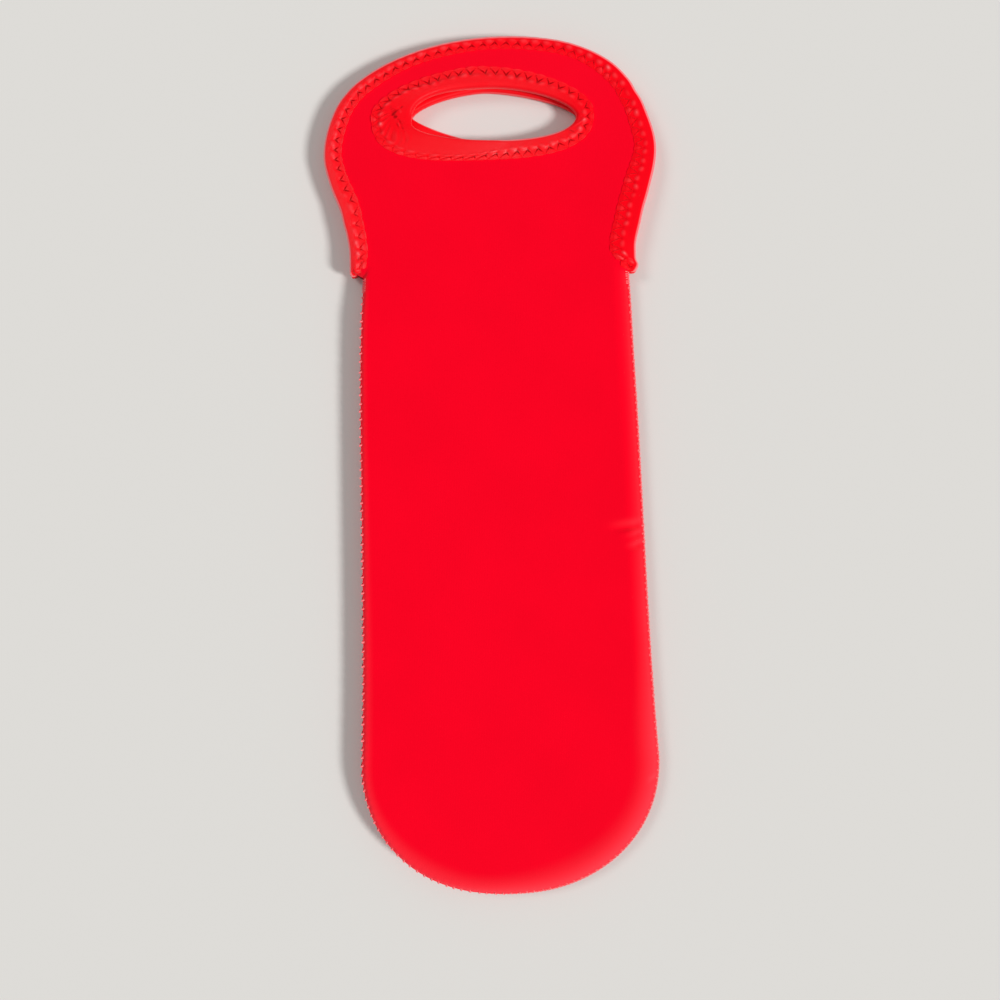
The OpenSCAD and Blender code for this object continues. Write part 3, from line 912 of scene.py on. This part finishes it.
# ---- the join at the left end of the front hole's tape, and single creases in the front's tapes
join = {
    "tipX": -43.0,
    "tipY": 171.0,
    "reach": 12.0,  # nothing of it is further to the right of the tip
    "pucker": 0.34,  # gathers that fan out below the pointed end
    "puckerPitch": 0.30,  # radians
    "puckerFrom": -0.5,  # and the angle that they fill
    "puckerTo": 2.3,
    "overlapX": -45.5,  # the tape's end lies over its start, and this is the fold that shows
    "overlapSlant": 0.35,
    "overlapStep": 0.4,
    "overlapCrease": 0.15,
}
marks = {
    # single creases: how deep each lies, how much painted shade it gets, and its line; negative ones stand up
    # and get painted highlight
    "wide": 0.45,
    "edgeTop": 12.0,  # none of the edge tape's is higher above the mouth
    "hole": [(0.24, 0.80, [(-46.9, 171.6), (-44.4, 173.4), (-41.7, 175.3)]),
             (0.24, 0.80, [(-46.4, 171.4), (-43.8, 169.4), (-42.4, 166.8), (-41.6, 164.8)]),
             (0.18, 0.64, [(-45.6, 174.4), (-44.8, 170.6)]),
             (-0.15, -0.72, [(-43.6, 174.9), (-42.3, 172.3)]),
             (-0.15, -0.72, [(-45.2, 168.9), (-43.2, 166.0)]),
             (-0.18, -0.80, [(36.6, 165.3), (39.6, 168.3)]),
             (-0.18, -0.80, [(38.0, 163.6), (40.6, 166.6)]),
             (0.21, 0.72, [(35.0, 162.6), (36.8, 161.2)]),
             (0.21, 0.64, [(38.2, 161.6), (40.9, 160.4)]),
             (-0.18, -0.40, [(28.0, 158.2), (36.0, 160.2), (42.0, 163.6), (48.0, 166.8)])],
    "edge": [(0.36, 0.80, [(63.4, 95.0), (66.0, 94.8), (68.6, 95.3)]),
             (-0.18, -0.64, [(62.6, 97.4), (66.0, 97.9), (68.6, 97.0)]),
             (-0.12, -0.56, [(62.4, 93.2), (66.0, 93.2)]),
             (0.27, 0.80, [(-65.5, 100.8), (-65.1, 103.2)]),
             (0.27, 0.72, [(-64.1, 98.0), (-64.0, 100.4)]),
             (0.27, 0.80, [(-65.1, 94.9), (-64.0, 96.9), (-63.2, 94.9)]),
             (-0.18, -0.80, [(-63.0, 96.6), (-62.4, 100.6)]),
             (0.24, 0.48, [(-69.6, 97.4), (-66.6, 96.0), (-66.2, 94.2)]),
             (0.18, 0.48, [(-69.6, 105.8), (-66.4, 105.3)])],
}


def markedAt(kind, at):
    # extra height and painted shading at a place from the nearest parts of all lines: shade, or highlight
    # where negative
    height, markShading, far = 0.0, 0.0, 20 * marks["wide"]
    for depth, drawn, line in marks[kind]:
        nearest = far
        for (ax, ay), (bx, by) in zip(line, line[1:]):
            if abs(at.x - ax) > far and abs(at.x - bx) > far:
                continue
            wayX, wayY = bx - ax, by - ay
            t = ((at.x - ax) * wayX + (at.y - ay) * wayY) / (wayX * wayX + wayY * wayY)
            t = min(1.0, max(0.0, t))
            nearest = min(nearest, math.hypot(at.x - ax - wayX * t, at.y - ay - wayY * t))
        near = bell(nearest / marks["wide"])
        height -= depth * near
        markShading += drawn * near
    return height, markShading


def holeJoin(at):
    # extra height of the front hole's tape near its join, and its painted shading: shade in the overlap's
    # crease, highlight and shade along the pucker ridges
    height, markShading = markedAt("hole", at)
    dx, dy = at.x - join["tipX"], at.y - join["tipY"]
    if dx > join["reach"]:
        return height, markShading
    away, angle = math.hypot(dx, dy), math.atan2(-dy, -dx)
    window = smooth((angle - join["puckerFrom"]) / 0.5) * smooth((join["puckerTo"] - angle) / 0.5)
    window *= smooth((away - 2) / 3) * smooth((15 - away) / 3)
    stray = noise.noise(Vector((at.x / 6, at.y / 6, 0.5)))
    ridge = math.cos(2 * math.pi * angle / join["puckerPitch"] + 2.2 * math.sin(away * 0.35 + 1) + 5 * stray)
    ridge *= 0.7 + 0.9 * noise.noise(Vector((at.x / 4, at.y / 4, 3.5)))
    fold = at.x - join["overlapX"] + dy * join["overlapSlant"]
    beside = smooth((dy + 7) / 3) * smooth((8 - dy) / 4)
    overlap = smooth((fold + 0.5) / 0.9) * smooth((3 - fold) / 5) * beside
    crease = bell((fold + 0.4) / 0.5) * beside
    height += join["pucker"] * window * ridge + join["overlapStep"] * overlap - join["overlapCrease"] * crease
    return height, markShading + 0.5 * crease - 0.35 * window * ridge


def edgeEnds(at):
    if at.y > mouthY + marks["edgeTop"]:
        return 0.0, 0.0
    return markedAt("edge", at)


# ---- thread
zigzagThread = {
    "wide": 0.62,
    "high": 0.4,
    "sunk": -0.3,  # its height over the tape at a needle hole, and between two of them
    "proud": 0.1,
    "skip": 4,  # stations left bare at each end of the edge tape
}
threadSides = 6  # corners of a thread's cross section


def threadTube(bm, points, ups, wide, high, closedPath=False, sizes=None, values=None):
    count = len(points) if closedPath else len(points) - 1

    def place(i, j):
        before = points[(i - 1) % len(points)] if closedPath or i else points[i]
        after = points[(i + 1) % len(points)] if closedPath or i < len(points) - 1 else points[i]
        way = (after - before).normalized()
        side = way.cross(ups[i]).normalized()
        lift = side.cross(way)
        a = 2 * math.pi * j / threadSides
        size = sizes[i] if sizes else 1.0
        return points[i] + side * (math.cos(a) * wide * size / 2) + lift * (math.sin(a) * high * size / 2)

    step = (points[1] - points[0]).length
    wrapGrid(bm, count, threadSides, place, closedPath, step, wide / 2, values)


def zigzag(bm, front, stations, closedPath, onLining, extra=None):
    # thread over the tape, down into a needle hole at every turn
    up = 1 if front else -1
    face = -up if onLining else up
    points, sunk = [], []
    for station in stations if closedPath else stations[zigzagThread["skip"]:-zigzagThread["skip"]]:
        turn = wave(station["phase"], 1.0)
        e = zigzagLine(station)[2]
        spot = station["rim"] + station["way"] * (station["width"] - e)
        levels = faces(front, spot.x, spot.y)
        height = tapeRelief(e, station)[0]
        height += mix(zigzagThread["sunk"], zigzagThread["proud"], smooth((1 - abs(turn)) * 2.2))
        if extra and not onLining:
            height += extra(spot)[0]
        level = max(tape["threadLevel"], levels[1 if onLining else 0] + face * height)
        points.append(Vector((spot.x, spot.y, level)))
        # painted shade where the thread dives into a needle hole
        sunk.append(smooth(0.5 - turn * 0.75) * station["shadeStrength"])
    ups = [Vector((0, 0, face))] * len(points)
    threadTube(bm, points, ups, zigzagThread["wide"], zigzagThread["high"], closedPath,
               values={"paintedShading": lambda i, j: sunk[i]})


def onEdge(s, inset, front, lift=0.0):
    # a place on the body's outer face near its edge
    place, outward = onRail(edgeRail, min(max(s / cellLength, 0), edgeCells - 1e-6))
    spot = place - outward * inset
    up = 1 if front else -1
    if inset < 0:
        return Vector((spot.x, spot.y, seamZ + seamRoll(place.x, place.y, 0))), outward
    level = faces(front, spot.x, spot.y)[0] - up * pucker(spot.x, s, inset)
    return Vector((spot.x, spot.y, level + up * lift)), outward


def overcast(bm, start, stitches, step, depth, wide, standOff):
    # bars of thread from each needle hole in the front out over the edge to the one in the back
    for k in range(stitches):
        s0 = start + (k + seam["stray"] * wander(k, 7.0)) * step
        slant = seam["slant"] * (0.5 + seam["strayLean"] * wander(k, 9.0))
        out, thick = 1 + seam["strayOut"] * wander(k, 11.0), 1 + seam["stray"] * wander(k, 13.0)
        points, ups, sizes = [], [], []
        low = smooth((hipY - edgeRail[min(edgeCells, int(s0 / cellLength))][0].y) / seam["lowRun"])
        for front, part in ((True, seam["loop"]), (False, seam["loop"][::-1])):
            up = 1 if front else -1
            for share, lift, size in part:
                lean = slant * (1 - share) * up
                inset = depth * share if share > 0 else -standOff * out * (1 - seam["lowOut"] * low)
                place, outward = onEdge(s0 + lean, inset, front, lift)
                if share < 0:
                    place.z += up * (lift + (seam["liftLeft"] * leftShare(place.x) if front else 0))
                points.append(place)
                flat = 1.4 if share < 0 else 0.35
                ups.append((outward.to_3d() * flat + Vector((0, 0, up))).normalized())
                sizes.append(size * thick)
        threadTube(bm, points, ups, wide, seam["threadHigh"], sizes=sizes)


def edgeCord(bm, start, end, stitchStep):
    # the thread that the loops lock round, along the outside of the joined edges
    count = max(8, round((end - start) / stitchStep * 8))
    points, ups = [], []
    for i in range(count + 1):
        s = mix(start, end, i / count)
        bulge = seam["cordBulge"] * math.cos(4 * math.pi * (s - start) / stitchStep)
        x = edgeRail[min(edgeCells, int(s / cellLength))][0].x
        toRight = smooth((x - seam["cordFrom"]) / seam["cordRun"])
        place, outward = onEdge(s, -0.001, True)
        outward = outward.to_3d()
        place -= outward * (mix(seam["cordLeft"], seam["cordRight"], toRight) + bulge)
        place.z += seam["cordLift"] * toRight
        points.append(place)
        ups.append(outward)
    threadTube(bm, points, ups, seam["cordWide"], seam["cordWide"])


# ---- materials
def linear(code):
    # a colour written as an sRGB hex code, as the linear values that a shader takes
    parts = [int(code[i:i + 2], 16) / 255 for i in (1, 3, 5)]
    return tuple(c / 12.92 if c < 0.04045 else ((c + 0.055) / 1.055) ** 2.4 for c in parts) + (1.0,)


def addNode(tree, kind, settings=None, values=None, links=None):
    node = tree.nodes.new(kind)
    for name, value in (settings or {}).items():
        setattr(node, name, value)
    for name, value in (values or {}).items():
        node.inputs[name].default_value = value
    for name, source in (links or {}).items():
        tree.links.new(source, node.inputs[name])
    return node


def newMaterial(name, values):
    material = bpy.data.materials.new(name)
    material.use_nodes = True
    tree = material.node_tree
    shader = tree.nodes["Principled BSDF"]
    for key, value in values.items():
        shader.inputs[key].default_value = value
    return material, tree, shader


def knit(tree, shader, wale, course, dark):
    # rows of small V loops, columns a wale apart and rows a course apart, and how dark it is between them
    place = addNode(tree, "ShaderNodeUVMap", {"uv_map": "flat"}).outputs["UV"]
    split = addNode(tree, "ShaderNodeSeparateXYZ", links={"Vector": place})
    columns = addNode(tree, "ShaderNodeMath", {"operation": "PINGPONG"}, {1: wale / 2},
                      {0: split.outputs["X"]})
    slant = addNode(tree, "ShaderNodeMath", {"operation": "MULTIPLY_ADD"}, {1: 1.3},
                    {0: columns.outputs[0], 2: split.outputs["Y"]})
    rows = addNode(tree, "ShaderNodeMath", {"operation": "PINGPONG"}, {1: course / 2}, {0: slant.outputs[0]})
    high = []
    for run, length in ((rows, course), (columns, wale)):
        high.append(addNode(tree, "ShaderNodeMath", {"operation": "MULTIPLY"}, {1: 2 / length},
                            {0: run.outputs[0]}))
    height = addNode(tree, "ShaderNodeMath", {"operation": "MULTIPLY_ADD"}, {1: 0.6},
                     {0: high[1].outputs[0], 2: high[0].outputs[0]}).outputs[0]
    standOut(tree, shader, height, 0.3, 0.12)
    gaps = addNode(tree, "ShaderNodeMapRange", values={"From Max": 1.6, "To Min": dark, "To Max": 0.0},
                   links={"Value": height})
    return place, gaps.outputs[0]


def standOut(tree, shader, height, strength, rise):
    # the finest relief, of so many millimetres, which only the light sees
    bump = addNode(tree, "ShaderNodeBump", values={"Strength": strength, "Distance": rise * mm},
                   links={"Height": height})
    tree.links.new(bump.outputs[0], shader.inputs["Normal"])


def dye(tree, shader, base, layers):
    # the shader's colour, from a base with one colour after another laid over it, each by its share
    cloth = None
    for share, colour in layers:
        links = {0: share} if cloth is None else {0: share, 6: cloth}
        cloth = addNode(tree, "ShaderNodeMix", {"data_type": "RGBA"}, {6: linear(base), 7: linear(colour)},
                        links).outputs[2]
    tree.links.new(cloth, shader.inputs["Base Color"])


def paintedShareOf(tree, start, end, most):
    # the share of a painted colour, from the mesh's record of painted shade (positive) and painted highlight
    # (negative)
    paintedShading = addNode(tree, "ShaderNodeAttribute", {"attribute_name": "paintedShading"}).outputs["Fac"]
    return addNode(tree, "ShaderNodeMapRange", values={"From Min": start, "From Max": end, "To Max": most},
                   links={"Value": paintedShading}).outputs[0]


def softRim(tree, shader, start, end, low, high):
    # the nap of a cloth shows more where it is seen at a slant
    slant = addNode(tree, "ShaderNodeLayerWeight", values={"Blend": 0.5}).outputs["Facing"]
    weight = addNode(tree, "ShaderNodeMapRange", links={"Value": slant},
                     values={"From Min": start, "From Max": end, "To Min": low, "To Max": high})
    tree.links.new(weight.outputs[0], shader.inputs["Sheen Weight"])


def knitJersey(name, colour, shade):
    # nylon jersey: very fine smooth yarn in small loops, so it is matt with a faint sheen at grazing angles
    material, tree, shader = newMaterial(name, {
        "Roughness": 0.85, "Specular IOR Level": 0.03, "Sheen Roughness": 0.6,
        "Sheen Tint": linear("#ff6c78"),
    })
    softRim(tree, shader, 0.04, 0.4, 0.03, 0.5)
    place, gaps = knit(tree, shader, 0.8, 0.6, 0.22)
    cloudy = addNode(tree, "ShaderNodeTexNoise", values={"Scale": 1 / 40.0, "Detail": 3.0, "Roughness": 0.5},
                     links={"Vector": place})
    patches = addNode(tree, "ShaderNodeMapRange", links={"Value": cloudy.outputs["Fac"]},
                      values={"From Min": 0.35, "From Max": 0.65, "To Min": 0.0, "To Max": 0.1})
    dark = addNode(tree, "ShaderNodeMath", {"operation": "ADD"}, links={0: gaps, 1: patches.outputs[0]})
    # painted sheen: the jersey is mixed towards a paler pink by the mesh's record of painted sheen, in place
    # of light on its turned edges and crease slopes
    paintedSheen = addNode(tree, "ShaderNodeAttribute", {"attribute_name": "paintedSheen"}).outputs["Fac"]
    dye(tree, shader, colour, [(dark.outputs[0], shade), (paintedSheen, "#ff4450")])
    return material


def stretchTape():
    # knitted nylon tape: brighter yarn than the jersey, so it is a little glossier
    material, tree, shader = newMaterial("stretchNylonTape", {
        "Roughness": 0.36, "Sheen Roughness": 0.35, "Sheen Tint": linear("#ffb0b0"),
    })
    shine = addNode(tree, "ShaderNodeAttribute", {"attribute_name": "shine"}).outputs["Fac"]
    gloss = addNode(tree, "ShaderNodeMath", {"operation": "MULTIPLY"}, {1: 0.22}, {0: shine})
    tree.links.new(gloss.outputs[0], shader.inputs["Specular IOR Level"])
    softRim(tree, shader, 0.3, 0.8, 0.02, 0.4)
    place, gaps = knit(tree, shader, 0.7, 0.55, 0.3)
    # painted shade in the grooves and needle holes of its stitches, painted highlight where its edge and the
    # parts between stitches stand up, and the palest painted rim sheen along the fold's shoulders
    paintedMarks = [(paintedShareOf(tree, 0.15, 1.0, 0.92), "#a40006"), (paintedShareOf(tree, -0.15, -0.8, 0.7), "#ff363e"),
             (paintedShareOf(tree, -0.9, -2.0, 0.9), "#ff8a8e")]
    dye(tree, shader, "#ff0619", [(gaps, "#e00112")] + paintedMarks)
    return material


def twistedThread(name, dark, light, sunkShade, sheen):
    # two plies twisted together, with painted slanting highlights along the plies; painted shade, a deeper
    # red, where it sinks into a needle hole
    material, tree, shader = newMaterial(name, {
        "Roughness": 0.5, "Specular IOR Level": 0.02, "Sheen Weight": sheen, "Sheen Roughness": 0.3,
        "Sheen Tint": linear("#ffb0b0"),
    })
    place = addNode(tree, "ShaderNodeUVMap", {"uv_map": "flat"}).outputs["UV"]
    plies = addNode(tree, "ShaderNodeTexWave", {"bands_direction": "DIAGONAL"},
                    {"Scale": 0.5, "Distortion": 0.4}, {"Vector": place}).outputs["Fac"]
    dye(tree, shader, dark, [(plies, light), (paintedShareOf(tree, 0.1, 0.9, 0.9), sunkShade)])
    standOut(tree, shader, plies, 0.5, 0.1)
    return material


def spongeCore():
    # closed-cell neoprene sponge: black, dull, with fine cut pores
    material, tree, shader = newMaterial("neopreneSponge", {"Roughness": 0.92, "Specular IOR Level": 0.2})
    place = addNode(tree, "ShaderNodeTexCoord").outputs["Object"]
    pores = addNode(tree, "ShaderNodeTexVoronoi", values={"Scale": 1 / (0.35 * mm)},
                    links={"Vector": place}).outputs["Distance"]
    dye(tree, shader, "#0c0c0d", [(pores, "#2a2829")])
    standOut(tree, shader, pores, 0.6, 0.1)
    return material


jersey = knitJersey("nylonJersey", "#ff0022", "#d40014")
lining = knitJersey("liningJersey", "#d80018", "#a8000e")
sponge = spongeCore()
tapeCloth = stretchTape()
tapeThread = twistedThread("polyesterThread", "#f20616", "#ff1c28", "#a80006", 0.0)
# the loops' pale pinks are painted highlight, standing in for the glint they catch at the edge
loopThread = twistedThread("texturedNylonThread", "#f04a54", "#ff9294", "#f04a54", 0.4)
print("stage: materials")


# ---- the pieces
bend = {"below": 10.0, "above": 30.0}  # the handles bend softly over this height about the mouth


def bendWith(piece, front):
    z = seamZ * mm
    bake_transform(piece, "bag", "front_grip" if front else "back_grip",
             start=(0, (mouthY - bend["below"]) * mm, z), end=(0, (mouthY + bend["above"]) * mm, z))


def makePanel(front):
    word = "front" if front else "back"
    cutMesh, area = levelled(front)
    jerseyShare = jerseyT / panelT
    for kind, outerShare, innerShare, material in (
            ("jersey", 0.0, jerseyShare, jersey),
            ("foam", jerseyShare, 1 - jerseyShare, sponge),
            ("lining", 1 - jerseyShare, 1.0, lining)):
        nodes = ["%s_body_%s" % (word, kind), "%s_handle_%s" % (word, kind)]
        name = word + kind.capitalize() + "Sheet"
        piece = panelLayer(name, cutMesh, outerShare, innerShare, material, kind, nodes)
        bendWith(piece, front)
    bpy.data.meshes.remove(cutMesh)
    print("stage:", word, "panel, flat area", round(area / 100), "square centimetres")


def makeBindings(front):
    word = "front" if front else "back"
    for kind, stations, length, closedPath, extra in (
            ("Edge", *edgeStations(front), False, edgeEnds), ("Hole", *holeStations(front), True, holeJoin)):
        extra = extra if front else None
        node = "%s_%s_" % (word, kind.lower())
        bm = bmesh.new()
        bindTape(bm, front, stations, closedPath, extra)
        cloth = finished(word + kind + "Tape", bm, tapeCloth, "binding")
        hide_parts(node + "binding")
        bm = bmesh.new()
        for onLining in (False, True):
            zigzag(bm, front, stations, closedPath, onLining, extra)
        stitches = finished(word + kind + "Zigzag", bm, tapeThread, "thread")
        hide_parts(node + "stitching")
        for piece in (cloth, stitches):
            if closedPath:
                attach(piece, word + "_grip")
            else:
                bendWith(piece, front)
        width = sum(station["width"] for station in stations) / len(stations)
    print("stage:", word, "tapes")


def makeSeam():
    bm = bmesh.new()
    overcast(bm, tackLength + stitchPitch / 2, stitchCount, stitchPitch, seam["needleIn"], seam["threadWide"],
             seam["standOff"])
    edgeCord(bm, tackLength, edgeLength - tackLength, stitchPitch)
    piece = finished("bodyOvercast", bm, loopThread, "thread")
    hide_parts("body_seam_thread")
    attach(piece, "bag")
    tacks = round(tackLength / seam["tackPitch"])
    for word, start in (("left", 0.0), ("right", edgeLength - tackLength)):
        bm = bmesh.new()
        overcast(bm, start + seam["tackPitch"] / 2, tacks, tackLength / tacks, seam["tackIn"],
                 seam["tackWide"], seam["tackOut"])
        edgeCord(bm, start + seam["tackGap"], start + tackLength - seam["tackGap"], seam["tackPitch"])
        piece = finished(word + "TackThread", bm, loopThread, "thread")
        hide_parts(word + "_corner_tack")
        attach(piece, "bag")
    print("stage: seam")


makePanel(True)
makePanel(False)
makeBindings(True)
makeBindings(False)
makeSeam()


# ---- floor and light
studio = {
    "floorColour": "#dcdad6",
    "floorHalf": 8.0,  # in metres, so that it has no edge in view
    "floorGap": 0.05,  # in millimetres under the carrier
    "keyStrength": 2.56,
    "keyAngle": 11.7,  # how wide the lamp looks from the object, in degrees
    "keyFrom": (1.53, -0.75, 1.38),
    "fillStrength": 0.61,
    "fillAngle": 23.0,
    "fillFrom": (-0.85, 0.5, 1.1),
    "worldStrength": 0.36,
    "backdropStrength": 0.72,  # what only the camera sees beyond the floor
}


def makeStage():
    bm = bmesh.new()
    bmesh.ops.create_grid(bm, x_segments=1, y_segments=1, size=studio["floorHalf"])
    bmesh.ops.translate(bm, vec=(0, 0, -studio["floorGap"] * mm), verts=bm.verts)
    mesh = bpy.data.meshes.new("floor")
    bm.to_mesh(mesh)
    bm.free()
    floor = bpy.data.objects.new("floor", mesh)
    material, tree, shader = newMaterial("paleFloor", {"Roughness": 0.95, "Specular IOR Level": 0.1})
    shader.inputs["Base Color"].default_value = linear(studio["floorColour"])
    mesh.materials.append(material)
    bpy.context.scene.collection.objects.link(floor)


def makeLamp(name, strength, angle, place):
    # a large lamp far away, so the floor is lit as evenly as the object
    data = bpy.data.lights.new(name, "SUN")
    data.energy = strength
    data.angle = math.radians(angle)
    lamp = bpy.data.objects.new(name, data)
    lamp.location = place
    lamp.rotation_mode = "QUATERNION"
    lamp.rotation_quaternion = (-Vector(place)).to_track_quat("-Z", "Y")
    bpy.context.scene.collection.objects.link(lamp)


makeStage()
makeLamp("keyLamp", studio["keyStrength"], studio["keyAngle"], studio["keyFrom"])
makeLamp("fillLamp", studio["fillStrength"], studio["fillAngle"], studio["fillFrom"])
world = bpy.data.worlds.new("studio")
world.use_nodes = True
sky = world.node_tree
background = sky.nodes["Background"]
background.inputs["Color"].default_value = (1, 1, 1, 1)
seen = addNode(sky, "ShaderNodeLightPath").outputs["Is Camera Ray"]
strength = addNode(sky, "ShaderNodeMapRange", links={"Value": seen},
                   values={"To Min": studio["worldStrength"], "To Max": studio["backdropStrength"]})
sky.links.new(strength.outputs[0], background.inputs["Strength"])
bpy.context.scene.world = world
bpy.context.scene.view_settings.view_transform = "Standard"
print("stage: floor and light")
